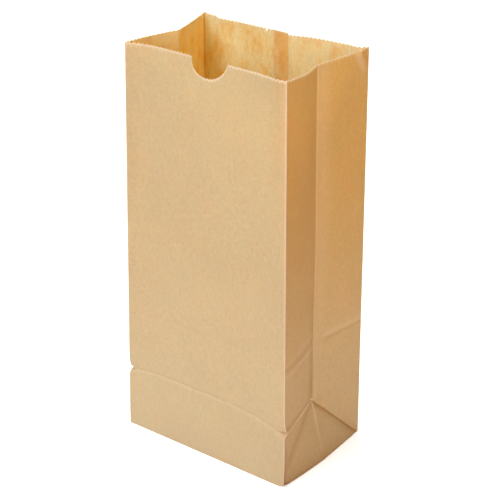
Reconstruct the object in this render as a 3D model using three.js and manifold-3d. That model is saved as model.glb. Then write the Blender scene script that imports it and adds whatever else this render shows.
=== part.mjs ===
// A plain kraft paper bag that stands open. One sheet is folded and glued into a flat base,
// a front and a back panel, and two side gussets that fold inward along their centre crease.
// Millimetres, Z up. The bag stands on Z = 0 and its front panel faces -Y.
import * as THREE from 'three';
import { mergeVertices } from 'three/addons/utils/BufferGeometryUtils.js';
import Module from 'manifold-3d';

const wasm = await Module();
wasm.setup();

// The sheet, and the box that it is folded into
const sheet = 0.12;
const height = 340;
const baseWidth = 160;
const baseDepth = 106;
const mouthWidth = 153.5;
const mouthDepth = 99.5;

// How far the panels lean in from a straight line between their corner edges
const frontLipBow = 6.5;
const backLipBow = 5;
const bowPower = 0.6;

// The side gussets: inward push of the centre crease, and outward bulge of the base's side edge
const rightMouthPush = 8;
const leftMouthPush = 12.5;
const kneePush = 9;
const baseBulge = 1.5;

// The crease across the front panel, left by folding the base flat against it
const creasePinch = 2.4;
const creaseArch = 4.5;

// The cut mouth: fine teeth all the way round, a thumb notch in front and a nick behind
const toothPitch = 3.5;
const toothDepth = 1.2;
const notchWidth = 34;
const notchDepth = 15;
const notchOffset = 1.8;
const nickWidth = 1.6;
const nickDepth = 2.6;
const nickOffset = -12.5;

// The glued lap that joins the two ends of the sheet, inside the back panel
const lapLeft = -5;
const lapRight = 8.5;

// How far each glued layer reaches into the one that it is glued to, which joins them in the solid
const glueReach = sheet / 2;

// The base flaps reach this far past the middle of the base, where front and back are glued
const flapOverlap = 12;

// How finely the sheet is divided: cells across each panel, each half gusset and each lower fold,
// rows above the folds, and the plain strip of sheet under the mouth that carries the teeth
const panelCells = 12;
const gussetCells = 6;
const upperRows = 6;
const stripHeight = 22;
const stationGap = 4;
const notchSegments = 40;
const cutLength = 30;

// The gussets fold inward at the knee, half the base's depth up. The base is four sheets thick.
const kneeHeight = baseDepth / 2;
const foldCell = kneeHeight / gussetCells;
const flapLength = kneeHeight + flapOverlap;
const baseThickness = 4 * sheet;

// Heights of the rows of cells, from the base up to the mouth
const rowHeights = [];
for (let i = 0; i <= gussetCells + 1; i++) rowHeights.push(i * foldCell);
rowHeights.push((kneeHeight + baseDepth) / 2);
for (let i = 0; i <= upperRows; i++) {
  rowHeights.push(THREE.MathUtils.lerp(baseDepth, height - stripHeight, i / upperRows));
}
rowHeights.push(height);

// Stations round the bag, counter-clockwise from above. Each has its side and its place along
// that side, from -1 at the first corner to just short of 1 at the next.
const stations = [];
function addSide(side, places) {
  for (const place of places) stations.push({ side, place });
}
function evenPlaces(cells) {
  return Array.from({ length: cells }, (_, i) => -1 + (2 * i) / cells);
}

// The back panel runs from right to left, and has a station at each edge of the glued lap
const placeOf = (x) => (-2 * x) / baseWidth;
const lapPlaces = [placeOf(lapRight), placeOf(lapLeft)];
const backPlaces = evenPlaces(panelCells).filter((place) => (
  place < placeOf(lapRight + stationGap) || place > placeOf(lapLeft - stationGap)
));
backPlaces.push(...lapPlaces);
backPlaces.sort((a, b) => a - b);
addSide('front', evenPlaces(panelCells));
addSide('right', evenPlaces(2 * gussetCells));
addSide('back', backPlaces);
addSide('left', evenPlaces(2 * gussetCells));

// Inward push of a gusset. Under the knee it is the lesser of the slope up from the base and
// the slope in from the corner edges, which leaves the two folds at 45 degrees.
function gussetPush(place, z, mouthPush) {
  const fromCorner = 1 - Math.abs(place);
  if (z < kneeHeight) {
    const climb = z / kneeHeight;
    return kneePush * Math.min(climb, fromCorner) - baseBulge * fromCorner * (1 - climb);
  }
  const climb = (z - kneeHeight) / (height - kneeHeight);
  return THREE.MathUtils.lerp(kneePush, mouthPush, climb) * fromCorner;
}

// How much of the crease's arch the rows of the front panel take at a height
function archShare(z) {
  if (z < kneeHeight) return z / kneeHeight;
  if (z <= baseDepth) return 1;
  return (height - z) / (height - baseDepth);
}

// A point of the outer face of the sheet
function outerPoint(station, z) {
  const { side, place } = station;
  const halfWidth = THREE.MathUtils.lerp(baseWidth, mouthWidth, z / height) / 2;
  const halfDepth = THREE.MathUtils.lerp(baseDepth, mouthDepth, z / height) / 2;
  const pinch = creasePinch * Math.max(0, 1 - Math.abs(z - kneeHeight) / foldCell);
  const frontDepth = halfDepth - pinch;
  const fromEdge = 1 - place ** 4;
  const bowShare = Math.pow(z / height, bowPower) * fromEdge;
  if (side === 'front') {
    const raised = z + creaseArch * archShare(z) * fromEdge;
    return new THREE.Vector3(place * halfWidth, frontLipBow * bowShare - frontDepth, raised);
  }
  if (side === 'back') {
    return new THREE.Vector3(-place * halfWidth, halfDepth - backLipBow * bowShare, z);
  }
  const sign = side === 'right' ? 1 : -1;
  const mouthPush = side === 'right' ? rightMouthPush : leftMouthPush;
  const x = sign * (halfWidth - gussetPush(place, z, mouthPush));
  const towardFront = sign * place < 0;
  const y = sign * place * (towardFront ? frontDepth : halfDepth);
  return new THREE.Vector3(x, y, z);
}

// The same row of points, moved into the bag by a distance along the mean of its two sides
function insetRow(row, distance) {
  return row.map((point, i) => {
    const before = row[(i + row.length - 1) % row.length];
    const after = row[(i + 1) % row.length];
    const a = new THREE.Vector2(before.y - point.y, point.x - before.x).normalize();
    const b = new THREE.Vector2(point.y - after.y, after.x - point.x).normalize();
    const mean = a.clone().add(b).normalize();
    const reach = distance / mean.dot(a);
    return new THREE.Vector3(point.x + mean.x * reach, point.y + mean.y * reach, point.z);
  });
}

function toManifold(geometry) {
  geometry.deleteAttribute('normal');
  geometry.deleteAttribute('uv');
  const merged = mergeVertices(geometry, 1e-4);
  return new wasm.Manifold(new wasm.Mesh({
    numProp: 3,
    vertProperties: new Float32Array(merged.attributes.position.array),
    triVerts: new Uint32Array(merged.index.array),
  }));
}

function fromTriangles(triangles) {
  const geometry = new THREE.BufferGeometry();
  const values = triangles.flatMap((point) => [point.x, point.y, point.z]);
  geometry.setAttribute('position', new THREE.Float32BufferAttribute(values, 3));
  return geometry;
}

// The cut edge between two neighbouring stations, with the tips of its teeth at the mouth
function toothedEdge(from, to, teeth) {
  return Array.from({ length: 2 * teeth + 1 }, (_, i) => {
    const point = from.clone().lerp(to, i / (2 * teeth));
    if (i % 2 === 1) point.z -= toothDepth;
    return point;
  });
}

// The four walls as one tube of sheet, open at both ends
function makeWalls() {
  const outer = rowHeights.map((z) => stations.map((station) => outerPoint(station, z)));
  const inner = outer.map((row) => insetRow(row, sheet));
  const triangles = [];
  const quad = (a, b, c, d) => triangles.push(a, b, c, a, c, d);
  const count = stations.length;
  const last = rowHeights.length - 1;
  for (let j = 0; j < count; j++) {
    const k = (j + 1) % count;
    quad(outer[0][k], outer[0][j], inner[0][j], inner[0][k]);
    for (let i = 0; i < last - 1; i++) {
      const face = [outer[i][j], outer[i][k], outer[i + 1][k], outer[i + 1][j]];
      const back = [inner[i][j], inner[i][k], inner[i + 1][k], inner[i + 1][j]];
      // Each cell is split along the fold that rises to the knee from the nearer corner
      const turn = stations[j].place < 0 ? 0 : 1;
      const corner = (cell, n) => cell[(n + turn) % 4];
      quad(corner(face, 0), corner(face, 1), corner(face, 2), corner(face, 3));
      quad(corner(back, 2), corner(back, 1), corner(back, 0), corner(back, 3));
    }
    const span = outer[last][j].distanceTo(outer[last][k]);
    const teeth = Math.max(1, Math.round(span / toothPitch));
    const outerEdge = toothedEdge(outer[last][j], outer[last][k], teeth);
    const innerEdge = toothedEdge(inner[last][j], inner[last][k], teeth);
    const middle = (outerEdge.length - 1) / 2;
    for (let n = 0; n < outerEdge.length - 1; n++) {
      const foot = n < middle ? j : k;
      triangles.push(outer[last - 1][foot], outerEdge[n + 1], outerEdge[n]);
      triangles.push(inner[last - 1][foot], innerEdge[n], innerEdge[n + 1]);
      quad(outerEdge[n], outerEdge[n + 1], innerEdge[n + 1], innerEdge[n]);
    }
    triangles.push(outer[last - 1][j], outer[last - 1][k], outerEdge[middle]);
    triangles.push(inner[last - 1][k], inner[last - 1][j], innerEdge[middle]);
  }
  return toManifold(fromTriangles(triangles));
}

// The glued lap: a second thickness of sheet on the inner face of the back panel, up to the teeth
function makeLap() {
  const ends = stations.flatMap((station, i) => (
    station.side === 'back' && lapPlaces.includes(station.place) ? [i] : []
  ));
  const corners = rowHeights.map((z) => {
    const row = stations.map((station) => outerPoint(station, Math.min(z, height - toothDepth)));
    const near = insetRow(row, sheet - glueReach);
    const far = insetRow(row, 2 * sheet);
    return [near[ends[0]], near[ends[1]], far[ends[1]], far[ends[0]]];
  });
  const triangles = [];
  const quad = (a, b, c, d) => triangles.push(a, b, c, a, c, d);
  const last = rowHeights.length - 1;
  quad(corners[0][3], corners[0][2], corners[0][1], corners[0][0]);
  quad(corners[last][0], corners[last][1], corners[last][2], corners[last][3]);
  for (let i = 0; i < last; i++) {
    for (let j = 0; j < 4; j++) {
      const k = (j + 1) % 4;
      quad(corners[i][j], corners[i][k], corners[i + 1][k], corners[i + 1][j]);
    }
  }
  return toManifold(fromTriangles(triangles));
}

// One flat layer of the base between two heights, from its outline
function makeLayer(outline, bottom, top) {
  const shape = new THREE.Shape(outline.map(([x, y]) => new THREE.Vector2(x, y)));
  const geometry = new THREE.ExtrudeGeometry(shape, { depth: top - bottom, bevelEnabled: false });
  geometry.translate(0, 0, bottom);
  return toManifold(geometry);
}

// The base: side flaps inside, then the front flap, then the back flap outermost. Where a long
// flap turns under at a corner, its tucked triangle fills the space up to the side flap.
function makeBase() {
  const x = baseWidth / 2 - glueReach;
  const y = baseDepth / 2 - glueReach;
  const middle = x - gussetPush(0, baseThickness, 0);
  const tip = x - flapLength;
  const flap = (sign) => [[-x, sign * y], [x, sign * y], [tip, sign * (y - flapLength)],
    [-tip, sign * (y - flapLength)]];
  const tuck = (side, sign) => [[side * x, sign * y], [side * tip, sign * y],
    [side * tip, sign * (y - flapLength)]];
  const sideFlap = (side) => [[side * x, -y], [side * middle, 0], [side * x, y],
    [side * tip, y], [side * tip, -y]];
  const layers = [
    makeLayer(flap(1), 0, sheet),
    makeLayer(flap(-1), sheet, 2 * sheet),
  ];
  for (const side of [-1, 1]) {
    layers.push(makeLayer(tuck(side, 1), sheet - glueReach, baseThickness - glueReach));
    layers.push(makeLayer(tuck(side, -1), 2 * sheet - glueReach, baseThickness - glueReach));
    layers.push(makeLayer(sideFlap(side), baseThickness - sheet, baseThickness));
  }
  return layers.reduce((solid, layer) => solid.add(layer));
}

function makeNotch() {
  const radius = (notchWidth ** 2 / 4 + notchDepth ** 2) / (2 * notchDepth);
  const cutter = new THREE.CylinderGeometry(radius, radius, cutLength, notchSegments);
  cutter.translate(notchOffset, -mouthDepth / 2, height - notchDepth + radius);
  return toManifold(cutter);
}

function makeNick() {
  const outline = new THREE.Shape([
    new THREE.Vector2(-nickWidth, nickDepth),
    new THREE.Vector2(0, -nickDepth),
    new THREE.Vector2(nickWidth, nickDepth),
  ]);
  const cutter = new THREE.ExtrudeGeometry(outline, { depth: cutLength, bevelEnabled: false });
  cutter.rotateX(Math.PI / 2);
  cutter.translate(nickOffset, mouthDepth / 2 + cutLength / 2, height);
  return toManifold(cutter);
}

const solid = makeWalls().add(makeLap()).add(makeBase()).subtract(makeNotch()).subtract(makeNick());
const cut = solid.getMesh();
const geometry = new THREE.BufferGeometry();
geometry.setAttribute('position', new THREE.Float32BufferAttribute(cut.vertProperties, 3));
geometry.setIndex(Array.from(cut.triVerts));

const kraftPaper = new THREE.MeshStandardMaterial({
  name: 'kraft_paper',
  color: 0xcfae7c,
  roughness: 0.85,
  metalness: 0,
});
const bag = new THREE.Mesh(geometry, kraftPaper);
bag.name = 'bag';

const group = new THREE.Group();
group.name = 'kraft_paper_bag';
group.add(bag);

export default group;
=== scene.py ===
import math

import bpy
import numpy as np
from mathutils import Matrix, Vector


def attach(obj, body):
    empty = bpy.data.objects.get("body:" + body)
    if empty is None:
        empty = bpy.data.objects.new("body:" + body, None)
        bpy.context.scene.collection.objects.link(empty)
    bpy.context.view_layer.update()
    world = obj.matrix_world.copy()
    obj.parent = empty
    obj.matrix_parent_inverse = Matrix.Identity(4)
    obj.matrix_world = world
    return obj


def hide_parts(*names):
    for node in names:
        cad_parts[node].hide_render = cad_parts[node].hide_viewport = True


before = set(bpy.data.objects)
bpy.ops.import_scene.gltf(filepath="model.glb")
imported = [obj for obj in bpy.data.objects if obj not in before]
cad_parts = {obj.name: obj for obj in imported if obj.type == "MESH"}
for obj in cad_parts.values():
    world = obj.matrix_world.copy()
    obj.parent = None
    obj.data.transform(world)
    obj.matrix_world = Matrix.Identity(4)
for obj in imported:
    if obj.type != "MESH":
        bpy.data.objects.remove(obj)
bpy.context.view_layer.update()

# Lengths in the settings are millimetres, and meshes are made in metres.
mm = 0.001

# The photograph's view, with angles in degrees. Only the two clip distances are in metres.
view = {
    "azimuth": 37.1,
    "elevation": 26.04,
    "roll": 0.16,
    "distance": 1146.5,
    "target": (5.96, 0.0, 169.9),
    "lens": 103.15,
    "sensor": 36.0,
    "clipNear": 0.05,
    "clipFar": 50.0,
}


def makeCamera():
    # back points from the target to the eye: azimuth 0 looks along +Y, elevation is above the horizon
    azimuth, elevation, roll = (math.radians(view[k]) for k in ("azimuth", "elevation", "roll"))
    back = Vector((math.sin(azimuth) * math.cos(elevation),
                   -math.cos(azimuth) * math.cos(elevation),
                   math.sin(elevation)))
    right = (-back).cross(Vector((0, 0, 1))).normalized()
    up = right.cross(-back)
    across = right * math.cos(roll) + up * math.sin(roll)
    above = up * math.cos(roll) - right * math.sin(roll)
    turn = Matrix((across, above, back)).transposed().to_4x4()
    eye = (Vector(view["target"]) + back * view["distance"]) * mm
    data = bpy.data.cameras.new("camera")
    data.lens = view["lens"]
    data.sensor_width = view["sensor"]
    data.clip_start = view["clipNear"]
    data.clip_end = view["clipFar"]
    camera = bpy.data.objects.new("camera", data)
    camera.matrix_world = Matrix.Translation(eye) @ turn
    bpy.context.scene.collection.objects.link(camera)
    bpy.context.scene.camera = camera


makeCamera()
print("camera made")

# The folded sheet. Corners are (x, y) in plan, at the base and at the mouth, and all lists of sides
# and corners run counter-clockwise from the front left corner.
sheet = {
    "height": 340.0,
    # height of the fold round the foot, and of the crease left by folding the bag flat
    "knee": 53.0,
    "upperCrease": 106.0,
    "thickness": 0.22,
    "panelWidths": (156.0, 102.0, 158.0, 102.0),
    "baseCorners": ((-82.2, -53.6), (80.3, -52.3), (81.2, 53.4), (-81.2, 53.2)),
    "mouthCorners": ((-75.6, -50.0), (73.0, -46.8), (77.7, 52.6), (-77.2, 47.5)),
    "cornerRound": 0.5,
    # radius of the fold along the foot, and how much of a quarter circle it turns
    "hemRound": 0.7,
    "hemTurn": 0.98,
    # inward lean of the lip from the line between its corners, at shares of that line, and how it
    # grows with the height
    "frontPlaces": (0, 0.07, 0.2, 0.33, 0.5, 0.65, 0.77, 0.88, 0.96, 1),
    "frontLean": (0, 4.6, 6.2, 5.7, 4.3, 3.5, 3.2, 1.0, -1.0, 0),
    "backPlaces": (0, 0.03, 0.12, 0.22, 0.33, 0.42, 0.5, 0.62, 0.75, 0.87, 0.95, 1),
    "backLean": (0, 2.4, 2.4, 2.7, 4.4, 5.6, 5.0, 4.5, 3.9, 4.1, 2.6, 0),
    "bowPower": 0.9,
    # inward push of each gusset's centre crease at these heights, and where along its side it lies
    "creaseHeights": (0, 53, 131, 197, 340),
    "rightPush": (0, 10.8, 10.6, 8.6, 5.8),
    "leftPush": (0, 10.2, 10.4, 11.2, 13.2),
    "rightCreasePlace": (0.5, 0.5, 0.49, 0.475, 0.43),
    "leftCreasePlace": (0.5, 0.5, 0.5, 0.5, 0.5),
    # outward bulge of both gussets at the foot, and of their first and second halves at the mouth
    "baseBulge": 2.0,
    "halfBulge": {"right": (3.8, 0.4), "left": (-0.8, 2.2)},
    # how soft the folds from the knee to the front and to the back base corner are
    "foldSoftness": (0.16, 0.014),
    # share of a gusset's width over which its creases set in from the corner edges
    "creaseStart": 0.04,
    # the corner edges are pinched in at the knee: depth, reach from the edge on the front panel and
    # on the gusset, and reach below and above the knee
    "pinchDepth": 5.0,
    "pinchReach": 4.0,
    "followReach": 6.0,
    "pinchHeight": (1.1, 3.4),
    # the front panel's creases arch up
    "creaseArch": 5.4,
    "archPower": 4,
    # the knee lies lower at the front right corner edge, from this share of the front panel on
    "nearDrop": 4.2,
    "nearDropFrom": 0.55,
    "nearDropPower": 1.6,
    "nearDropReach": 50.0,
    # the gussets' feet are tucked in behind the front corner edges
    "tuckDepth": 1.8,
    "tuckHeight": 6.0,
    "tuckReach": 15.0,
    # the base corner in front on the right is worn blunt
    "bluntRise": 2.6,
    "bluntReach": 2.8,
    # slow unevenness, which sets in over a share of each panel and over a height. Turn and slant
    # are how much its waves lean, and falloff is how much weaker the short ones are.
    "uneven": {"depth": 0.9, "startShare": 0.125, "startHeight": 40.0, "seed": 11, "waves": 6,
               "longest": 110.0, "shortest": 22.0, "sideLength": 130.0, "turn": 0.45, "slant": 0.5,
               "falloff": 0.8},
}
knee, upper, mouth = sheet["knee"], sheet["upperCrease"], sheet["height"]

# The creases pressed into the sheet. Panels count round the bag from the front, 0 to 3. Each crease
# runs on its panels between two places, given as the share of the panel's width from the left or
# the front edge, and the height. Depth is inward, just below its line and just above it, and reach
# is how fast it falls off. Shades are (amount, width, shift upward): painted shade beside the line,
# or a painted highlight where the amount is below 0. Fade is what the strength comes to at its second end.
creases = {
    "frontKnee": {"panels": (0,), "from": (0, knee), "to": (1, knee), "depth": (0.45, 0.45),
                  "reach": 1.2, "shades": ((0.1, 0.8, 1.0), (-0.3, 0.8, -0.9))},
    "frontKneeEnd": {"panels": (0,), "from": (0, knee + 6), "to": (0.055, knee + 0.5),
                     "depth": (0.6, 0.6), "reach": 1.5, "shades": ((0.25, 0.8, 0.8), (-0.35, 0.8, -0.8))},
    "frontUpper": {"panels": (0,), "from": (0, upper), "to": (1, upper), "depth": (0.3, 0.3),
                   "reach": 2.4, "shades": ((0.03, 1.2, 1.0), (-0.08, 1.2, -1.5))},
    "backKnee": {"panels": (2,), "from": (0, knee), "to": (1, knee), "depth": (0.4, 0.4),
                 "reach": 1.6, "shades": ((0.08, 0.8, 0.9), (-0.2, 0.8, -0.8))},
    "nearKnee": {"panels": (1, 3), "from": (0, knee), "to": (0.5, knee), "depth": (-0.6, 0.6),
                 "reach": 2.2, "shades": ((0.34, 2.4, 2.6), (-1.0, 0.9, -0.6), (0.16, 1.6, -3.4))},
    "nearFold": {"panels": (1, 3), "from": (0.5, knee), "to": (0.0, 13), "depth": (1.0, 1.0),
                 "reach": 6.0, "shades": ((0.34, 4.4, 0.0),)},
    "farFold": {"panels": (1, 3), "from": (0.5, knee), "to": (1, 0), "depth": (1.7, -0.3),
                "reach": 2.4, "shades": ((0.85, 1.2, -1.1), (0.26, 3.6, -3.0), (-0.3, 0.8, 0.8))},
    "foot": {"panels": (1, 3), "from": (0.5, knee), "to": (0.5, 0), "depth": (-0.6, -0.6),
             "reach": 1.8, "fade": 0.2, "shades": ((-1.0, 1.0, 0.0), (0.2, 4.0, 6.0), (0.12, 3.0, -5.0))},
    "nearUpper": {"panels": (1, 3), "from": (0.5, upper + 1), "to": (0, upper - 1), "depth": (0.8, 0.8),
                  "reach": 2.4, "shades": ((0.32, 2.8, 1.0), (-0.4, 1.4, -5.0), (-0.25, 1.4, 5.6))},
    "farUpper": {"panels": (1, 3), "from": (0.62, upper - 1.4), "to": (1, upper + 1), "depth": (0.5, 0.2),
                 "reach": 2.0, "shades": ((0.26, 1.4, 0.0), (-0.42, 2.2, 4.2))},
    "centreLow": {"panels": (1, 3), "from": (0.5, knee), "to": (0.5, 230), "depth": (0, 0),
                  "reach": 1.0, "fade": 0.25,
                  "shades": ((0.62, 1.3, 1.3), (0.3, 5.0, 4.6), (-0.2, 2.4, -3.2))},
    "centre": {"panels": (1, 3), "from": (0.5, 90), "to": (0.5, mouth), "depth": (0, 0),
               "reach": 1.0, "fade": 2.0,
               "shades": ((-0.26, 0.6, -0.5), (-0.1, 7.0, -7.0), (0.08, 1.4, 1.8))},
    "hem": {"panels": (1, 3), "from": (0, 0), "to": (0.75, 0), "depth": (0, 0), "reach": 1.0,
            "fade": 0.2, "shades": ((0.85, 3.4, 0.6), (0.3, 9.0, 3.0))},
    "ear": {"panels": (1,), "from": (0.9, mouth - 1), "to": (0.985, mouth - 18), "depth": (0.9, -0.3),
            "reach": 2.0, "fade": 0.5, "shades": ((0.42, 2.2, 3.2), (-0.6, 2.4, -2.2))},
    "frontTop": {"panels": (0,), "from": (0.955, mouth + 5), "to": (0.955, 215), "depth": (0, 0),
                 "reach": 1.0, "fade": 0.0, "shades": ((0.17, 6.5, 0.0), (0.07, 40.0, 0.0))},
    "nearFoot": {"panels": (1, 3), "from": (0, 0), "to": (0, 44), "depth": (0, 0), "reach": 1.0,
                 "fade": 0.1, "shades": ((0.9, 2.6, -2.2),)},
}
# how softly a crease stops beyond its two ends
creaseEnd = 1.2


def bell(distance, width):
    # 1 at no distance, falling off as the exponential of minus the squared share of the width
    return np.exp(-(distance / width) ** 2)


def softCurve(places, values, at):
    # a cubic through the points, with each slope the mean of its two neighbours' slopes
    places, values = np.asarray(places, float), np.asarray(values, float)
    slopes = np.gradient(values, places)
    i = np.clip(np.searchsorted(places, at, side="right") - 1, 0, len(places) - 2)
    span = places[i + 1] - places[i]
    t = (at - places[i]) / span
    return ((2 * t**3 - 3 * t**2 + 1) * values[i] + (t**3 - 2 * t**2 + t) * span * slopes[i]
            + (3 * t**2 - 2 * t**3) * values[i + 1] + (t**3 - t**2) * span * slopes[i + 1])


def softMin(a, b, width):
    # the lesser of two values from 0 to 1, rounded over a width where they cross and exact where
    # they are half apart
    lesser = 0.5 * (a + b - np.sqrt((a - b) ** 2 + width**2))
    return lesser + 0.5 * width * (1 - np.clip(2 * np.abs(a - b), 0, 1))


def fromCrease(crease, place, z, width):
    # how far each point lies above a crease's line (or before it, if upright), and its strength
    # there, which changes along the line to its second end and stops beyond both ends
    (startPlace, startHeight), (endPlace, endHeight) = crease["from"], crease["to"]
    runAcross, runUp = (endPlace - startPlace) * width, endHeight - startHeight
    length = math.hypot(runAcross, runUp)
    across, up = runAcross / length, runUp / length
    a, b = (place - startPlace) * width, z - startHeight
    along = a * across + b * up
    above = b * across - a * up
    if across < 0:
        above = -above
    beyond = np.maximum(np.maximum(-along, along - length), 0)
    strength = 1 + (crease.get("fade", 1.0) - 1) * np.clip(along / length, 0, 1)
    return above, strength * bell(beyond, creaseEnd)


def creaseDepth(side, place, z):
    # inward depth of all creases at points of the panels
    depth = np.zeros(np.broadcast(place, z).shape)
    for crease in creases.values():
        width = sheet["panelWidths"][crease["panels"][0]]
        above, strength = fromCrease(crease, place, z, width)
        under, over = crease["depth"]
        shape = np.where(above < 0, under, over) * np.exp(-np.abs(above) / crease["reach"])
        depth = depth + np.where(np.isin(side, crease["panels"]), shape * strength, 0)
    return depth


def creaseShades(side, place, z):
    # two masks over points of the panels: painted shade and painted highlights beside the creases
    dark, pale = np.zeros(np.broadcast(place, z).shape), np.zeros(np.broadcast(place, z).shape)
    for crease in creases.values():
        width = sheet["panelWidths"][crease["panels"][0]]
        above, strength = fromCrease(crease, place, z, width)
        here = np.isin(side, crease["panels"])
        for amount, spread, shift in crease["shades"]:
            shape = abs(amount) * bell(above - shift, spread) * strength * here
            if amount > 0:
                dark = np.maximum(dark, shape)
            else:
                pale = np.maximum(pale, shape)
    return dark, pale


def panelPlace(s):
    # the side of each place round the bag, the share along it, and the share from its left or front
    s = np.mod(s, 4.0)
    side = np.minimum(s.astype(int), 3)
    t = s - side
    return side, t, np.where(side >= 2, 1 - t, t)


def waves(s, z):
    # a slow unevenness: the mean of sine waves of seeded directions and lengths
    uneven = sheet["uneven"]
    draw = np.random.default_rng(uneven["seed"])
    around = s * uneven["sideLength"]
    total = np.zeros(np.broadcast(around, z).shape)
    for length in np.geomspace(uneven["longest"], uneven["shortest"], uneven["waves"]):
        angle = draw.uniform(-uneven["turn"], uneven["turn"])
        phase = draw.uniform(0, 2 * math.pi)
        run = around * math.cos(angle) + z * math.sin(angle) * uneven["slant"]
        size = (length / uneven["longest"]) ** uneven["falloff"]
        total = total + np.sin(2 * math.pi * run / length + phase) * size
    return total / uneven["waves"]


def gussetLean(name, t, place, z, length, grow):
    # inward lean of a gusset, and the share along its side. Below the knee it leans in by the lesser
    # of two slopes, from the foot up and from the corner edge in, and above it by the centre
    # crease's push times the share of the way from the edge, less the bulge.
    climb = np.clip(z / knee, 0, 1)
    push = np.interp(z, sheet["creaseHeights"], sheet[name + "Push"])
    middle = np.interp(z, sheet["creaseHeights"], sheet[name + "CreasePlace"])
    firstHalf = t < 0.5
    fromCorner = np.where(firstHalf, 2 * t, 2 * (1 - t))
    softness = np.where(place < 0.5, *sheet["foldSoftness"])
    kneePush = sheet[name + "Push"][1]
    low = (kneePush * softMin(climb, fromCorner, softness * fromCorner)
           - sheet["baseBulge"] * fromCorner * (1 - climb))
    bulge = np.where(firstHalf, *sheet["halfBulge"][name]) * np.sin(math.pi * fromCorner) * grow
    lean = np.where(z < knee, low, push * fromCorner - bulge)
    tuck = np.exp(-z / sheet["tuckHeight"]) * np.exp(-place * length / sheet["tuckReach"])
    along = np.where(firstHalf, 2 * t * middle, 1 - 2 * (1 - t) * (1 - middle))
    return lean + sheet["tuckDepth"] * tuck, along


def raisedHeight(side, t, z, length):
    # each point's height, plus the arch of the front creases and the rise of the blunt corner, less
    # the drop towards the front right edge
    climb = np.clip(z / knee, 0, 1)
    arch = sheet["creaseArch"] * np.where(z < knee, climb, np.clip((mouth - z) / (mouth - upper), 0, 1))
    arched = z + arch * np.where(side == 0, 1 - (2 * t - 1) ** sheet["archPower"], 0)
    dropFrom = sheet["nearDropFrom"]
    onFront = np.clip((t - dropFrom) / (1 - dropFrom), 0, 1) ** sheet["nearDropPower"]
    onGusset = np.clip(1 - 2 * t, 0, 1)
    drop = np.where(side == 0, onFront, np.where(side == 1, onGusset, 0))
    drop = drop * np.where(z < knee, climb, np.clip(1 - (z - knee) / sheet["nearDropReach"], 0, 1))
    toBlunt = np.where(side == 0, 1 - t, np.where(side == 1, t, 1)) * length
    blunt = sheet["bluntRise"] * np.exp(-(toBlunt + z) / sheet["bluntReach"])
    return arched - sheet["nearDrop"] * drop + blunt


def wallPoints(s, z):
    # s runs round the bag from 0 to 4, one for each side, counter-clockwise from the front left corner.
    # Each point is on the line between its side's corners at height z, moved in by that side's lean.
    s, z = np.broadcast_arrays(s, z)
    side, t, place = panelPlace(s)
    rise = z / mouth
    low, high = np.array(sheet["baseCorners"]), np.array(sheet["mouthCorners"])
    start = low[side] + (high[side] - low[side]) * rise[..., None]
    nextSide = (side + 1) % 4
    end = low[nextSide] + (high[nextSide] - low[nextSide]) * rise[..., None]
    run = end - start
    length = np.linalg.norm(run, axis=-1)
    inward = np.stack([-run[..., 1], run[..., 0]], axis=-1) / length[..., None]
    grow = np.power(np.clip(rise, 0, 1), sheet["bowPower"])
    lean, along = np.zeros_like(z), t.copy()
    front, back, isGusset = side == 0, side == 2, side % 2 == 1
    lean[front] = (softCurve(sheet["frontPlaces"], sheet["frontLean"], t) * grow)[front]
    lean[back] = (softCurve(sheet["backPlaces"], sheet["backLean"], t) * grow)[back]
    for index, name in ((1, "right"), (3, "left")):
        here = side == index
        gusset, slid = gussetLean(name, t, place, z, length, grow)
        lean[here], along[here] = gusset[here], slid[here]
    fromEdge = np.minimum(t, 1 - t)
    setsIn = np.clip(fromEdge / sheet["creaseStart"], 0, 1)
    lean = lean + creaseDepth(side, place, z) * np.where(isGusset, setsIn, 1)
    # the front panel is pinched in at the knee beside its corner edges
    band = np.exp(-np.abs(z - knee) / np.where(z < knee, *sheet["pinchHeight"]))
    pinch = sheet["pinchDepth"] * bell(fromEdge * length, sheet["pinchReach"]) * band
    lean = lean + np.where(front, pinch, 0)
    # the fold along the foot is a part of a circle
    hemRise = np.clip(1 - z / sheet["hemRound"], 0, 1)
    lean = lean + sheet["hemRound"] * (1 - np.sqrt(1 - sheet["hemTurn"] * hemRise**2))
    uneven = sheet["uneven"]
    still = np.clip(fromEdge / uneven["startShare"], 0, 1) * np.clip(z / uneven["startHeight"], 0, 1)
    lean = lean + uneven["depth"] * waves(s, z) * still
    point = start + run * along[..., None] + inward * lean[..., None]
    # the gussets' edges follow the front panel back at the pinch
    edge = creases["frontKnee"]["depth"][0] + sheet["pinchDepth"]
    follow = edge * np.exp(-place * length / sheet["followReach"]) * band
    point[..., 1] += np.where(isGusset, follow, 0)
    return np.concatenate([point, raisedHeight(side, t, z, length)[..., None]], axis=-1)


def roundedWall(s, z):
    # the wall with its corner edges rounded: a weighted mean of the point and one on each side of it
    shift = sheet["cornerRound"] / np.array(sheet["panelWidths"])[panelPlace(s)[0]]
    middle = wallPoints(s, z)
    before, after = wallPoints(s - shift, z), wallPoints(s + shift, z)
    smooth = (before + 2 * middle + after) / 4
    tangent = after - before
    inward = np.stack([-tangent[..., 1], tangent[..., 0], 0 * tangent[..., 0]], axis=-1)
    inward = inward / np.linalg.norm(inward, axis=-1, keepdims=True)
    return smooth, inward


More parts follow.
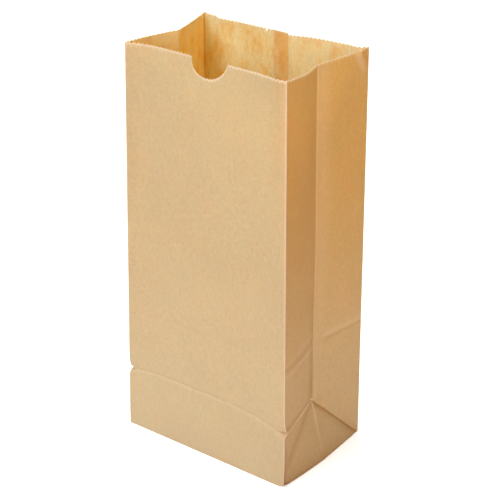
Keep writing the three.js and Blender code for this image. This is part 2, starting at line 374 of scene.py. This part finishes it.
# The cut edge round the mouth, with places given as x
lip = {
    # the teeth on the four panels
    "teeth": (44, 28, 44, 28),
    "toothDepth": (1.6, 1.1, 1.5, 1.1),
    "cellsPerTooth": (2, 4, 2, 4),
    # the thumb notch and its teeth, and how square its left and right sides are: 2 is a half ellipse
    "notchWidth": 33.8,
    "notchDepth": 14.8,
    "notchCentre": 1.6,
    "notchTeeth": 17,
    "notchToothDepth": 1.9,
    "notchPower": (2.6, 1.6),
    # the nick and two small steps in the back lip
    "nickCentre": -12.5,
    "nickWidth": 1.7,
    "nickDepth": 2.6,
    "stepPlace": 8.8,
    "stepDrop": 1.1,
    "stepReach": 16.0,
    "leftStepPlace": -61.0,
    "leftStepRise": 1.1,
    # the lift at the back right corner
    "earHeight": 1.4,
    "earReach": 2.6,
    # height of the strip in which the rows close up under the cut edge
    "strip": 24.0,
}


def zigzag(count):
    # teeth of height 1: zero at whole numbers, and 1 half way between
    return 1 - np.abs(2 * np.mod(count, 1.0) - 1)


def lipHeight(s, x):
    # height of the cut edge: the mouth's, less the teeth, the notch in front, the nick and the step
    # behind, plus the left step and the ear
    side, t, _ = panelPlace(s)
    edge = mouth - np.array(lip["toothDepth"])[side] * zigzag(t * np.array(lip["teeth"])[side])
    across = (x - lip["notchCentre"]) / (lip["notchWidth"] / 2)
    turn = np.arcsin(np.clip(across, -1, 1))
    power = np.where(across < 0, *lip["notchPower"])
    notch = mouth - lip["notchDepth"] * (1 - np.clip(np.abs(across), 0, 1) ** power) ** (1 / power)
    notchTeeth = lip["notchToothDepth"] * zigzag((turn / math.pi + 0.5) * lip["notchTeeth"])
    isNotch = (side == 0) & (np.abs(across) < 1)
    edge = np.where(isNotch, np.minimum(notch - notchTeeth, mouth), edge)
    nick = lip["nickDepth"] * np.clip(1 - np.abs(x - lip["nickCentre"]) / (lip["nickWidth"] / 2), 0, 1)
    pastStep = x - lip["stepPlace"]
    step = lip["stepDrop"] * np.where(pastStep > 0, np.clip(1 - pastStep / lip["stepReach"], 0, 1), 0)
    leftStep = lip["leftStepRise"] * (x < lip["leftStepPlace"])
    toEar = np.abs(s - 2) * sheet["panelWidths"][2]
    ear = lip["earHeight"] * np.exp(-toEar / lip["earReach"])
    return edge - np.where(side == 2, nick + step - leftStep, 0) + ear


def frontPlaceOf(x):
    # the place round the bag of an x at the front lip
    low, high = sheet["mouthCorners"][0][0], sheet["mouthCorners"][1][0]
    return (x - low) / (high - low)


def backPlaceOf(x):
    # the place round the bag of an x at the back lip
    low, high = sheet["mouthCorners"][2][0], sheet["mouthCorners"][3][0]
    return 2 + (x - low) / (high - low)


# The walls' grid. Columns stand beside the corner edges (on a side of the given length), the steps
# in the lip and the gussets' ridges (as shares of a side), and no other comes nearer to them than
# the least share of a tooth. Rows lie at the hem, up to the knee, beside it, on to the upper
# crease, beside it, on to the strip, and at shares of the strip.
grid = {
    "besideCorner": (-1.6, -0.9, -0.45, 0, 0.45, 0.9, 1.6),
    "sideLength": 130.0,
    "besideStep": (-0.15, 0.15),
    "besideRidge": (-0.006, 0, 0.006),
    "leastShare": 0.11,
    "hemRows": (0.12, 0.35, 0.7),
    "rowsToKnee": 46,
    "besideKnee": (-0.5, 0.5, 1.1, 1.9, 2.8, 4, 6, 9),
    "pastKnee": 13.0,
    "rowsToUpper": 6,
    "beforeUpper": 9.0,
    "besideUpper": (-7, -5.5, -4.2, -3, -2, -1, 0, 1, 2, 3, 4.5, 6.5),
    "pastUpper": 12.0,
    "rowsToStrip": 20,
    "stripShares": (0.14, 0.28, 0.42, 0.56, 0.69, 0.8, 0.88, 0.935, 0.97, 1),
    # edges that turn by more degrees than this are shaded sharp
    "sharpAngle": 50.0,
}


def makeColumns():
    # places round the bag: whole parts of a tooth apart, closer at the corners, the notch and the nick
    teeth = lip["teeth"]
    cells = [count * parts for count, parts in zip(teeth, lip["cellsPerTooth"])]
    even = np.concatenate([side + np.arange(n) / n for side, n in enumerate(cells)])
    besideCorner = np.array(grid["besideCorner"]) / grid["sideLength"]
    corners = np.concatenate([corner + besideCorner for corner in range(5)])
    turns = np.linspace(-math.pi / 2, math.pi / 2, 2 * lip["notchTeeth"] + 1)
    notch = frontPlaceOf(lip["notchCentre"] + lip["notchWidth"] / 2 * np.sin(turns))
    nick = backPlaceOf(lip["nickCentre"] + np.array([-1, -0.5, 0, 0.5, 1]) * lip["nickWidth"] / 2)
    stepPlaces = np.array([lip["stepPlace"], lip["leftStepPlace"]])
    steps = backPlaceOf((stepPlaces[:, None] + np.array(grid["besideStep"])).ravel())
    ridges = np.concatenate([side + 0.5 + np.array(grid["besideRidge"]) for side in (1, 3)])
    special = np.concatenate([corners, notch, nick, steps, ridges])
    special = np.unique(special[(special >= 0) & (special < 4)].round(7))
    nearest = np.abs(even[:, None] - special[None, :]).min(axis=1)
    inNotch = (even > notch[0]) & (even < notch[-1])
    return np.sort(np.concatenate([even[(nearest > grid["leastShare"] / teeth[0]) & ~inNotch], special]))


def makeRows():
    # heights of the rows: close at the hem, the two creases and the mouth, wider between them
    foot = mouth - lip["strip"]
    parts = [
        grid["hemRows"],
        np.linspace(0, knee, grid["rowsToKnee"]),
        knee + np.array(grid["besideKnee"]),
        np.linspace(knee + grid["pastKnee"], upper - grid["beforeUpper"], grid["rowsToUpper"]),
        upper + np.array(grid["besideUpper"]),
        np.linspace(upper + grid["pastUpper"], foot, grid["rowsToStrip"]),
        foot + lip["strip"] * np.array(grid["stripShares"]),
    ]
    return np.unique(np.concatenate([np.asarray(part, float) for part in parts]).round(4))


def cutRows(rows, edge):
    # rows below the strip stay level; in the strip they close up under the cut edge
    foot = mouth - lip["strip"]
    share = np.clip((rows - foot) / lip["strip"], 0, 1)[:, None]
    return rows[:, None] * (share <= 0) + (foot + (edge[None, :] - foot) * share) * (share > 0)


def closedShell(name, outer, inner, loops):
    # a sheet between two grids of points (rows, columns, 3), joined along its open edges
    rowCount, columnCount = outer.shape[:2]
    count = rowCount * columnCount
    index = np.arange(count).reshape(rowCount, columnCount)
    after = np.roll(index, -1, axis=1) if loops else index[:, 1:]
    here = index if loops else index[:, :-1]
    front = np.stack([here[:-1], after[:-1], after[1:], here[1:]], axis=-1).reshape(-1, 4)
    back = front[:, ::-1] + count
    top = np.stack([here[-1], after[-1], after[-1] + count, here[-1] + count], axis=-1)
    bottom = np.stack([after[0], here[0], here[0] + count, after[0] + count], axis=-1)
    faces = [front, back, top, bottom]
    if not loops:
        left, right = index[:, 0], index[:, -1]
        faces.append(np.stack([left[:-1], left[1:], left[1:] + count, left[:-1] + count], axis=-1))
        faces.append(np.stack([right[1:], right[:-1], right[:-1] + count, right[1:] + count], axis=-1))
    faces = np.concatenate(faces)
    points = np.concatenate([outer.reshape(-1, 3), inner.reshape(-1, 3)]) * mm
    mesh = bpy.data.meshes.new(name)
    mesh.from_pydata(points.tolist(), [], faces.tolist())
    mesh.polygons.foreach_set("use_smooth", np.ones(len(mesh.polygons), bool))
    mesh.set_sharp_from_angle(angle=math.radians(grid["sharpAngle"]))
    mesh.update()
    piece = bpy.data.objects.new(name, mesh)
    bpy.context.scene.collection.objects.link(piece)
    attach(piece, "root")
    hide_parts("bag")
    return piece


def setMasks(piece, shape, masks):
    # a number for each vertex of a shell's two grids, which the material reads by the mask's name
    for name, faces in masks.items():
        values = np.stack([np.broadcast_to(face, shape) for face in faces]).astype(np.float32)
        attribute = piece.data.attributes.new(name, "FLOAT", "POINT")
        attribute.data.foreach_set("value", values.ravel())


columns = makeColumns()
rows = makeRows()
lipPoints = wallPoints(columns, np.full_like(columns, mouth))
heights = cutRows(rows, lipHeight(columns, lipPoints[:, 0]))
outer, inward = roundedWall(np.broadcast_to(columns, heights.shape), heights)
walls = closedShell("bag_walls", outer, outer + inward * sheet["thickness"], True)
print("walls made", len(walls.data.polygons))

# The glued lap inside the back panel, between two x at the mouth. It ends below the cut edge and
# stands on the base flaps. Seen from inside, its right part is darker than its left: painted shade where
# the double sheet lets less light through, with only a slight glue stain on its left part.
lap = {
    "left": -5.6,
    "right": 8.6,
    "cells": 18,
    "gap": 0.02,
    "thickness": 0.2,
    "topDrop": 0.7,
    "lift": 0.88,
    "lowRows": 5,
    "edgeWear": 0.2,
    "cutWidth": 1.0,
    # share of its width at which the darker part ends, how softly, and how dark both parts are: painted
    # shade on the right part and a glue stain on the left
    "darkTo": 0.62,
    "darkSoft": 0.05,
    "dark": 0.4,
    "paleDark": 0.06,
}


def makeLap():
    # a strip of the back panel between two places, moved in by the sheet's thickness and the gap
    places = np.linspace(backPlaceOf(lap["right"]), backPlaceOf(lap["left"]), lap["cells"] + 1)
    level = np.minimum(rows, mouth - lap["topDrop"])
    # the rows under the lift are spread between it and the first row above them
    first = lap["lowRows"]
    level[:first] = lap["lift"] + (level[first] - lap["lift"]) * np.arange(first) / first
    level = np.broadcast_to(level[:, None], (len(rows), len(places)))
    face, normal = roundedWall(np.broadcast_to(places, level.shape), level)
    near = face + normal * (sheet["thickness"] + lap["gap"])
    far = near + normal * lap["thickness"]
    piece = closedShell("back_lap", near, far, False)
    edge = np.zeros(level.shape)
    edge[:, 0] = edge[:, -1] = lap["edgeWear"]
    top = bell(level[-1][None, :] - level, lap["cutWidth"])
    across = np.linspace(0, 1, lap["cells"] + 1)
    darkShare = np.clip((lap["darkTo"] - across) / lap["darkSoft"] + 0.5, 0, 1)
    dark = lap["paleDark"] + (lap["dark"] - lap["paleDark"]) * darkShare
    setMasks(piece, level.shape, {"inside": (1, 1), "glow": (0, 0), "paintedCornerShade": (0, 0), "cutEdge": (top, top),
                                  "wearAndPaintedHighlight": (edge, edge), "paintedShadeAndStain": (dark, dark)})
    return piece


backLap = makeLap()
print("lap made")

# Colour masks over the walls, for worn edges and for painted light and shade: strengths from 0 to 1,
# and widths and heights beside them
wearAndPaintedLight = {
    # pale corner edges, worn and with a painted highlight, and all the outside a little paler towards the
    # base
    "width": 0.7,
    "strength": 1.0,
    "lowPale": 0.13,
    "lowPaleTo": 190.0,
    # painted light: the gussets glow warmer towards the mouth, standing for light that comes through
    # them; their near halves glow less and have painted shade
    "glowFrom": 80.0,
    "glowTo": 250.0,
    "glowNear": 0.85,
    "glowNearDark": 0.3,
    # painted shade at the foot of the right gusset, beside the front corner edge
    "foot": 0.85,
    "footWidth": 6.0,
    "footHeight": 3.6,
    # inside, painted shade in the corner edges: a brown line, with more painted shade close by and softly
    # further off
    "paintedCornerShade": 0.75,
    "paintedCornerShadeWidth": 1.2,
    "insideDark": 0.5,
    "insideWidth": 1.0,
    "insideSoftDark": 0.2,
    "insideSoft": 11.0,
    # inside, painted highlights on the gussets' ridges, a painted highlight on the left gusset's near half
    # and painted shade on its far half, and the back panel paler past the lap
    "ridgePale": 1.0,
    "ridgeWidth": 0.9,
    "nearHalfPale": 0.6,
    "farHalfDark": 0.3,
    "pastLapPale": 0.14,
    # the pale cut edge outside, and a wider pale band along it inside
    "cutWidth": 1.0,
    "insideCut": 0.6,
    "insideCutWidth": 2.4,
}


def maskWalls():
    # each mask has one grid for the outside and one for the inside
    side, t, place = panelPlace(np.broadcast_to(columns, heights.shape))
    toCorner = np.minimum(t, 1 - t) * np.array(sheet["panelWidths"])[side]
    isGusset, nearHalf = side % 2 == 1, place < 0.5
    dark, pale = creaseShades(side, place, heights)
    pale = np.maximum(pale, wearAndPaintedLight["strength"] * bell(toCorner, wearAndPaintedLight["width"]))
    pale = np.maximum(pale, wearAndPaintedLight["lowPale"] * np.clip(1 - heights / wearAndPaintedLight["lowPaleTo"], 0, 1))
    # painted light on the gussets towards the mouth, and painted shade on their near halves
    climbs = np.clip((heights - wearAndPaintedLight["glowFrom"]) / (wearAndPaintedLight["glowTo"] - wearAndPaintedLight["glowFrom"]), 0, 1) * isGusset
    glow = climbs * np.where(nearHalf, wearAndPaintedLight["glowNear"], 1)
    dark = np.maximum(dark, wearAndPaintedLight["glowNearDark"] * climbs * nearHalf)
    # painted shade at the right gusset's foot
    foot = bell(place * sheet["panelWidths"][1], wearAndPaintedLight["footWidth"]) * bell(heights, wearAndPaintedLight["footHeight"])
    foot = wearAndPaintedLight["foot"] * foot * (side == 1)
    # inside, painted shade in the corner edges
    paintedCornerShade = wearAndPaintedLight["paintedCornerShade"] * bell(toCorner, wearAndPaintedLight["paintedCornerShadeWidth"])
    toRidge = np.where(isGusset, np.abs(t - 0.5) * sheet["panelWidths"][1], np.inf)
    leftNear, leftFar = (side == 3) & (t > 0.5), (side == 3) & (t < 0.5)
    pastLap = (side == 2) & (t < backPlaceOf(lap["right"]) - 2)
    insidePale = wearAndPaintedLight["ridgePale"] * bell(toRidge, wearAndPaintedLight["ridgeWidth"])
    insidePale = np.maximum(insidePale, wearAndPaintedLight["nearHalfPale"] * leftNear)
    insidePale = np.maximum(insidePale, wearAndPaintedLight["pastLapPale"] * pastLap)
    insideDark = (wearAndPaintedLight["insideDark"] * bell(toCorner, wearAndPaintedLight["insideWidth"])
                  + wearAndPaintedLight["insideSoftDark"] * bell(toCorner, wearAndPaintedLight["insideSoft"]) * (side != 1))
    insideDark = np.maximum(np.where(leftNear, 0, insideDark), wearAndPaintedLight["farHalfDark"] * leftFar)
    fromLip = heights[-1][None, :] - heights
    cut = bell(fromLip, wearAndPaintedLight["cutWidth"])
    insideCut = wearAndPaintedLight["insideCut"] * bell(fromLip, wearAndPaintedLight["insideCutWidth"])
    setMasks(walls, heights.shape, {"inside": (0, 1), "glow": (glow, 0), "paintedCornerShade": (foot, paintedCornerShade),
                                    "cutEdge": (cut, insideCut), "wearAndPaintedHighlight": (pale, insidePale),
                                    "paintedShadeAndStain": (dark, insideDark)})


maskWalls()
print("walls masked")

# The base: side flaps inside, then the front flap, then the back flap outermost
base = {
    "overlap": 12.0,
    "sheet": 0.2,
    "gap": 0.05,
    # how far the flaps stop short of the corner edges, of the gussets' tucked feet and of the blunt corner
    "inset": 0.9,
    "tuckInset": 2.8,
    "blunt": 2.4,
    "cells": (80, 24),
    "edgeWear": 0.5,
}


def footCurve(side, insets, count):
    # x and y of the inner face of one side's wall at its foot, between two insets from its corners
    corners = np.array(sheet["baseCorners"])
    run = corners[(side + 1) % 4] - corners[side]
    length = np.linalg.norm(run)
    inward = np.array([-run[1], run[0]]) / length
    s = side + np.linspace(insets[0] / length, 1 - insets[1] / length, count)
    return wallPoints(s, np.zeros(count))[:, :2] + inward * (sheet["thickness"] + base["gap"])


def makeFlap(name, side, insets, ends, layer):
    # a flat sheet ruled from the foot of one side to a straight line between two ends
    across, along = base["cells"]
    u, v = np.meshgrid(np.linspace(0, 1, across + 1), np.linspace(0, 1, along + 1))
    first, last = np.array(ends)
    line = first + (last - first) * u[..., None]
    plan = footCurve(side, insets, across + 1)[None] * (1 - v)[..., None] + line * v[..., None]
    low = np.full(plan.shape[:2] + (1,), layer * base["sheet"])
    lowFace = np.concatenate([plan, low], axis=-1)
    highFace = np.concatenate([plan, low + base["sheet"]], axis=-1)
    piece = closedShell(name, highFace, lowFace, False)
    rim = np.minimum(np.minimum(u, 1 - u), np.minimum(v, 1 - v)) <= 0
    worn = rim * base["edgeWear"]
    setMasks(piece, rim.shape, {"inside": (1, 0), "glow": (0, 0), "paintedCornerShade": (0, 0), "cutEdge": (0, 0),
                                "wearAndPaintedHighlight": (worn, worn), "paintedShadeAndStain": (0, 0)})
    return piece


def makeBase():
    # the flaps reach in by half the base's depth, which is the knee's height, and by the overlap. The
    # side flaps lie one layer above the front flap, over the folds of its ends.
    frontLeft, frontRight, backRight, backLeft = (np.array(c) for c in sheet["baseCorners"])
    inset, tuckInset, blunt = base["inset"], base["tuckInset"], base["blunt"]
    left = max(frontLeft[0], backLeft[0]) + inset
    right = min(frontRight[0], backRight[0]) - inset
    front = max(frontLeft[1], frontRight[1]) + inset
    back = min(backLeft[1], backRight[1]) - inset
    reach = knee + base["overlap"]
    inLeft, inRight, inFront, inBack = left + reach, right - reach, front + reach, back - reach
    return [
        makeFlap("base_back_flap", 2, (inset, inset), ((inRight, inBack), (inLeft, inBack)), 0),
        makeFlap("base_front_flap", 0, (tuckInset, tuckInset + blunt),
                 ((inLeft, inFront), (inRight, inFront)), 1),
        makeFlap("base_left_flap", 3, (inset, inset), ((inLeft, back), (inLeft, front)), 3),
        makeFlap("base_right_flap", 1, (inset + blunt, inset), ((inRight, front), (inRight, back)), 3),
    ]


flaps = makeBase()
print("base flaps made")


def link(tree, source, target):
    # from an output socket to an input socket
    tree.links.new(source, target)


def feed(tree, value, socket):
    # a plain value is set, and a socket is linked
    if isinstance(value, (int, float, tuple)):
        socket.default_value = value
    else:
        link(tree, value, socket)


def calculate(tree, kind, a, b):
    # a Math node on two values or sockets
    node = tree.nodes.new("ShaderNodeMath")
    node.operation = kind
    for socket, value in zip(node.inputs, (a, b)):
        feed(tree, value, socket)
    return node.outputs["Value"]


def blend(tree, factor, a, b, kind="MIX"):
    # a Mix node on two colours or sockets
    node = tree.nodes.new("ShaderNodeMix")
    node.data_type = "RGBA"
    node.blend_type = kind
    sockets = {socket.identifier: socket for socket in node.inputs}
    for name, value in (("Factor_Float", factor), ("A_Color", a), ("B_Color", b)):
        feed(tree, value, sockets[name])
    return next(socket for socket in node.outputs if socket.identifier == "Result_Color")


# Patterns of the paper's surface. Stretch is the pattern's scale along x, y and z, and turn is in
# radians. Where there is a level, the pattern becomes a mask that rises from it by the gain.
fibre = {
    "patterns": {
        "cloud": {"scale": 48.0, "detail": 4.0, "stretch": (1.0, 1.0, 0.6)},
        "blotch": {"scale": 100.0, "detail": 4.0, "stretch": (1.0, 1.0, 0.5), "level": 0.42, "gain": 4.0},
        "grain": {"scale": 760.0, "detail": 2.0, "stretch": (1.0, 1.0, 0.3)},
        "fine": {"scale": 820.0, "detail": 2.0, "stretch": (0.35, 0.35, 1.0)},
        "paleStrands": {"scale": 1100.0, "detail": 1.0, "stretch": (1.0, 1.0, 0.16),
                        "level": 0.57, "gain": 7.0},
        "darkStrands": {"scale": 1200.0, "detail": 1.0, "stretch": (1.0, 1.0, 0.15),
                        "turn": (0.7, 0.7, 0.4), "level": 0.58, "gain": 7.0},
        "crossStrands": {"scale": 1150.0, "detail": 1.0, "stretch": (0.16, 0.16, 1.0),
                         "turn": (0.3, -0.25, 0.0), "level": 0.58, "gain": 7.0},
        "speck": {"scale": 560.0, "detail": 1.0, "stretch": (1.0, 1.0, 0.45), "level": 0.755, "gain": 14.0},
    },
    "roughness": 0.6,
    # the strands' mean, which is taken off so that they don't lighten the paper, and their height
    "strandMean": 0.14,
    "strandHeight": 0.3,
}


def makeFibreGroup():
    # Kraft paper's surface: cloudy formation, grain, short fibres in three directions and rare specks.
    # It puts out a shade around 1, a mask of blotches, a mask of specks and a height.
    tree = bpy.data.node_groups.new("paperFibres", "ShaderNodeTree")
    face = tree.interface
    face.new_socket("Vector", in_out="INPUT", socket_type="NodeSocketVector")
    for name in ("Cloud", "Grain", "Fibre"):
        face.new_socket(name, in_out="INPUT", socket_type="NodeSocketFloat")
    for name in ("Shade", "Blotch", "Speck", "Height"):
        face.new_socket(name, in_out="OUTPUT", socket_type="NodeSocketFloat")
    nodes = tree.nodes
    given, made = nodes.new("NodeGroupInput"), nodes.new("NodeGroupOutput")

    def pattern(name):
        # a noise pattern, or the mask (pattern - level) * gain, held between 0 and 1
        settings = fibre["patterns"][name]
        mapping = nodes.new("ShaderNodeMapping")
        mapping.inputs["Scale"].default_value = settings["stretch"]
        mapping.inputs["Rotation"].default_value = settings.get("turn", (0, 0, 0))
        link(tree, given.outputs["Vector"], mapping.inputs["Vector"])
        node = nodes.new("ShaderNodeTexNoise")
        node.inputs["Scale"].default_value = settings["scale"]
        node.inputs["Detail"].default_value = settings["detail"]
        node.inputs["Roughness"].default_value = fibre["roughness"]
        link(tree, mapping.outputs["Vector"], node.inputs["Vector"])
        if "level" not in settings:
            return node.outputs["Fac"]
        above = calculate(tree, "SUBTRACT", node.outputs["Fac"], settings["level"])
        clamped = nodes.new("ShaderNodeClamp")
        link(tree, calculate(tree, "MULTIPLY", above, settings["gain"]), clamped.inputs["Value"])
        return clamped.outputs["Result"]

    grain = pattern("grain")
    clouds = calculate(tree, "SUBTRACT", pattern("cloud"), 0.5)
    clouds = calculate(tree, "MULTIPLY", clouds, given.outputs["Cloud"])
    grains = calculate(tree, "SUBTRACT", calculate(tree, "ADD", grain, pattern("fine")), 1.0)
    grains = calculate(tree, "MULTIPLY", grains, given.outputs["Grain"])
    strands = calculate(tree, "ADD", pattern("paleStrands"), pattern("crossStrands"))
    strands = calculate(tree, "SUBTRACT", strands, pattern("darkStrands"))
    fibres = calculate(tree, "SUBTRACT", strands, fibre["strandMean"])
    fibres = calculate(tree, "MULTIPLY", fibres, given.outputs["Fibre"])
    shade = calculate(tree, "ADD", calculate(tree, "ADD", clouds, grains), fibres)
    link(tree, calculate(tree, "ADD", shade, 1.0), made.inputs["Shade"])
    link(tree, pattern("blotch"), made.inputs["Blotch"])
    link(tree, pattern("speck"), made.inputs["Speck"])
    height = calculate(tree, "ADD", calculate(tree, "MULTIPLY", strands, fibre["strandHeight"]), grain)
    link(tree, height, made.inputs["Height"])
    return tree


paper = {
    # the outside; the inside, brighter and warmer as painted light; and the gussets' outside where painted
    # light glows through them
    "colour": (0.565, 0.519, 0.352),
    "warm": (0.915, 0.90, 0.56),
    "glow": (0.62, 0.452, 0.20),
    # pale worn edges, painted highlights and pale cut edges; painted shade at folds and corners outside
    # and inside, and a glue stain on the lap; and painted shade in the inside corners
    "pale": (0.92, 0.92, 0.84),
    "deep": (0.28, 0.145, 0.04),
    "deepInside": (1.0, 0.66, 0.17),
    "paintedCornerShadeInside": (0.74, 0.32, 0.05),
    # blotches and specks
    "blotch": (0.93, 0.64, 0.18),
    "speck": (0.40, 0.24, 0.10),
    # light that comes through the sheet, and through its blotches
    "through": (0.93, 0.66, 0.26),
    "throughBlotch": (0.86, 0.50, 0.11),
    "throughShare": 0.44,
    # colours of the two layers at the lap, as shares of one layer's red, green and blue: darker and more
    # orange as painted shade where the double sheet lets less light through
    "doubleTint": (0.99, 0.92, 0.78),
    # strengths of the patterns and the masks
    "blotchOutside": 0.08,
    "blotchInside": 0.85,
    "speckStrength": 0.5,
    "cloud": 0.14,
    "grain": 0.40,
    "fibre": 0.05,
    "wearAndPaintedHighlight": 0.82,
    "cutEdge": 0.95,
    "roughness": 0.62,
    "specular": 0.3,
    "bump": 0.14,
    # in metres
    "bumpDistance": 0.00025,
}


def makePaper(name, tint, fibres):
    # the kraft colour, shaded by its fibres, brighter and warmer inside as painted light and blotchy there,
    # with painted glow on the gussets, painted shade and painted highlights at folds and corners, pale worn
    # edges and a pale cut edge; a share of the light comes through the sheet. Tint scales each colour.
    material = bpy.data.materials.new(name)
    material.use_nodes = True
    tree = material.node_tree
    nodes = tree.nodes
    shader = nodes["Principled BSDF"]
    position = nodes.new("ShaderNodeTexCoord")
    group = nodes.new("ShaderNodeGroup")
    group.node_tree = fibres
    for label in ("cloud", "grain", "fibre"):
        group.inputs[label.capitalize()].default_value = paper[label]
    link(tree, position.outputs["Object"], group.inputs["Vector"])

    def mask(label):
        # the number that setMasks gave each vertex
        node = nodes.new("ShaderNodeAttribute")
        node.attribute_name = label
        return node.outputs["Fac"]

    def tinted(label):
        return tuple(part * scale for part, scale in zip(paper[label], tint)) + (1,)

    def grey(level):
        return (level, level, level, 1)

    inside, paintedCornerShade, blotch = mask("inside"), mask("paintedCornerShade"), group.outputs["Blotch"]
    # painted light: the gussets' glow, and the inside brighter and warmer than the outside
    outside = blend(tree, mask("glow"), tinted("colour"), tinted("glow"))
    colour = blend(tree, inside, outside, tinted("warm"))
    blotchShare = blend(tree, inside, grey(paper["blotchOutside"]), grey(paper["blotchInside"]))
    colour = blend(tree, calculate(tree, "MULTIPLY", blotch, blotchShare), colour, tinted("blotch"))
    shade = nodes.new("ShaderNodeCombineColor")
    for socket in ("Red", "Green", "Blue"):
        link(tree, group.outputs["Shade"], shade.inputs[socket])
    colour = blend(tree, 1.0, colour, shade.outputs["Color"], "MULTIPLY")
    specks = calculate(tree, "MULTIPLY", group.outputs["Speck"], paper["speckStrength"])
    colour = blend(tree, specks, colour, tinted("speck"))
    # painted shade at creases, corner edges and the gussets' near halves, and a glue stain on the lap
    deep = blend(tree, inside, tinted("deep"), tinted("deepInside"))
    colour = blend(tree, mask("paintedShadeAndStain"), colour, deep)
    # painted shade in the inside corners and at the right gusset's foot, also in the light through the
    # sheet
    paintedCornerShadeColour = blend(tree, inside, tinted("deep"), tinted("paintedCornerShadeInside"))
    colour = blend(tree, paintedCornerShade, colour, paintedCornerShadeColour)
    # worn edges and painted highlights at creases, ridges and lit halves, then the pale cut edge
    for label in ("wearAndPaintedHighlight", "cutEdge"):
        colour = blend(tree, calculate(tree, "MULTIPLY", mask(label), paper[label]), colour, tinted("pale"))
    link(tree, colour, shader.inputs["Base Color"])
    shader.inputs["Roughness"].default_value = paper["roughness"]
    shader.inputs["Specular IOR Level"].default_value = paper["specular"]
    bump = nodes.new("ShaderNodeBump")
    bump.inputs["Strength"].default_value = paper["bump"]
    bump.inputs["Distance"].default_value = paper["bumpDistance"]
    link(tree, group.outputs["Height"], bump.inputs["Height"])
    link(tree, bump.outputs["Normal"], shader.inputs["Normal"])
    through = nodes.new("ShaderNodeBsdfTranslucent")
    throughColour = blend(tree, calculate(tree, "MULTIPLY", blotch, inside),
                          tinted("through"), tinted("throughBlotch"))
    link(tree, blend(tree, paintedCornerShade, throughColour, paintedCornerShadeColour), through.inputs["Color"])
    share = nodes.new("ShaderNodeMixShader")
    share.inputs["Fac"].default_value = paper["throughShare"] * tint[0]
    link(tree, shader.outputs["BSDF"], share.inputs[1])
    link(tree, through.outputs["BSDF"], share.inputs[2])
    link(tree, share.outputs["Shader"], nodes["Material Output"].inputs["Surface"])
    return material


fibreGroup = makeFibreGroup()
kraft = makePaper("kraftPaper", (1.0, 1.0, 1.0), fibreGroup)
# the lap's copy of the paper, tinted darker as painted shade
kraftDouble = makePaper("kraftPaperDouble", paper["doubleTint"], fibreGroup)
walls.data.materials.append(kraft)
backLap.data.materials.append(kraftDouble)
for flap in flaps:
    flap.data.materials.append(kraft)
print("paper made")

# The floor, the surroundings and the lamps, with lengths in metres and power in watts. The camera
# sees a white floor that glows a little, and the lamps light a slightly cooler one.
studio = {
    "floorSize": 8.0,
    "floorHeight": -0.0001,
    "floorForCamera": (1.0, 1.0, 1.0, 1),
    "floorForLight": (0.93, 0.94, 0.99, 1),
    "floorGlow": 0.5,
    "floorGlowColour": (0.86, 0.90, 1.0, 1),
    "floorRoughness": 0.9,
    "worldLevel": 0.06,
    "aim": (0, 0, 0.17),
    "lamps": {
        "key": {"from": (-0.9, -3.2, 2.3), "size": 1.8, "power": 74.0, "colour": (0.85, 0.90, 1.0)},
        "top": {"from": (-0.4, -0.3, 2.9), "size": 2.0, "power": 79.0, "colour": (1.0, 1.0, 0.80)},
        "graze": {"from": (1.3, -2.8, 0.9), "size": 0.8, "power": 21.0, "colour": (0.97, 1.0, 1.0)},
        "side": {"from": (2.8, -0.9, 1.1), "size": 1.0, "power": 27.0, "colour": (1.0, 0.60, 0.20)},
        "back": {"from": (-2.2, 1.9, 2.1), "size": 1.4, "power": 72.0, "colour": (1.0, 0.95, 0.78)},
    },
}


def makeFloor():
    # a square plane round the origin, with one colour and glow for the camera and a plain one for light
    half, low = studio["floorSize"] / 2, studio["floorHeight"]
    mesh = bpy.data.meshes.new("floor")
    corners = [(-half, -half, low), (half, -half, low), (half, half, low), (-half, half, low)]
    mesh.from_pydata(corners, [], [(0, 1, 2, 3)])
    floor = bpy.data.objects.new("floor", mesh)
    bpy.context.scene.collection.objects.link(floor)
    material = bpy.data.materials.new("floorPaper")
    material.use_nodes = True
    tree = material.node_tree
    shader = tree.nodes["Principled BSDF"]
    seen = tree.nodes.new("ShaderNodeLightPath").outputs["Is Camera Ray"]
    colour = blend(tree, seen, studio["floorForLight"], studio["floorForCamera"])
    link(tree, colour, shader.inputs["Base Color"])
    glow = calculate(tree, "MULTIPLY", seen, studio["floorGlow"])
    link(tree, glow, shader.inputs["Emission Strength"])
    shader.inputs["Emission Color"].default_value = studio["floorGlowColour"]
    shader.inputs["Roughness"].default_value = studio["floorRoughness"]
    shader.inputs["Specular IOR Level"].default_value = 0.0
    mesh.materials.append(material)


def makeWorld():
    # white to the camera, and a dim light on everything else
    world = bpy.data.worlds.new("studio")
    bpy.context.scene.world = world
    world.use_nodes = True
    tree = world.node_tree
    background = tree.nodes["Background"]
    background.inputs["Color"].default_value = (1, 1, 1, 1)
    path = tree.nodes.new("ShaderNodeLightPath")
    span = tree.nodes.new("ShaderNodeMapRange")
    span.inputs["To Min"].default_value = studio["worldLevel"]
    span.inputs["To Max"].default_value = 1.0
    link(tree, path.outputs["Is Camera Ray"], span.inputs["Value"])
    link(tree, span.outputs["Result"], background.inputs["Strength"])


def makeLamps():
    # square area lamps that point at the middle of the bag
    for name, lamp in studio["lamps"].items():
        data = bpy.data.lights.new(name, "AREA")
        data.shape = "SQUARE"
        data.size = lamp["size"]
        data.energy = lamp["power"]
        data.color = lamp["colour"]
        light = bpy.data.objects.new(name, data)
        light.location = lamp["from"]
        toAim = Vector(studio["aim"]) - Vector(lamp["from"])
        light.rotation_euler = toAim.to_track_quat("-Z", "Y").to_euler()
        bpy.context.scene.collection.objects.link(light)


makeFloor()
makeWorld()
makeLamps()
bpy.context.scene.view_settings.view_transform = "Standard"
print("studio made")
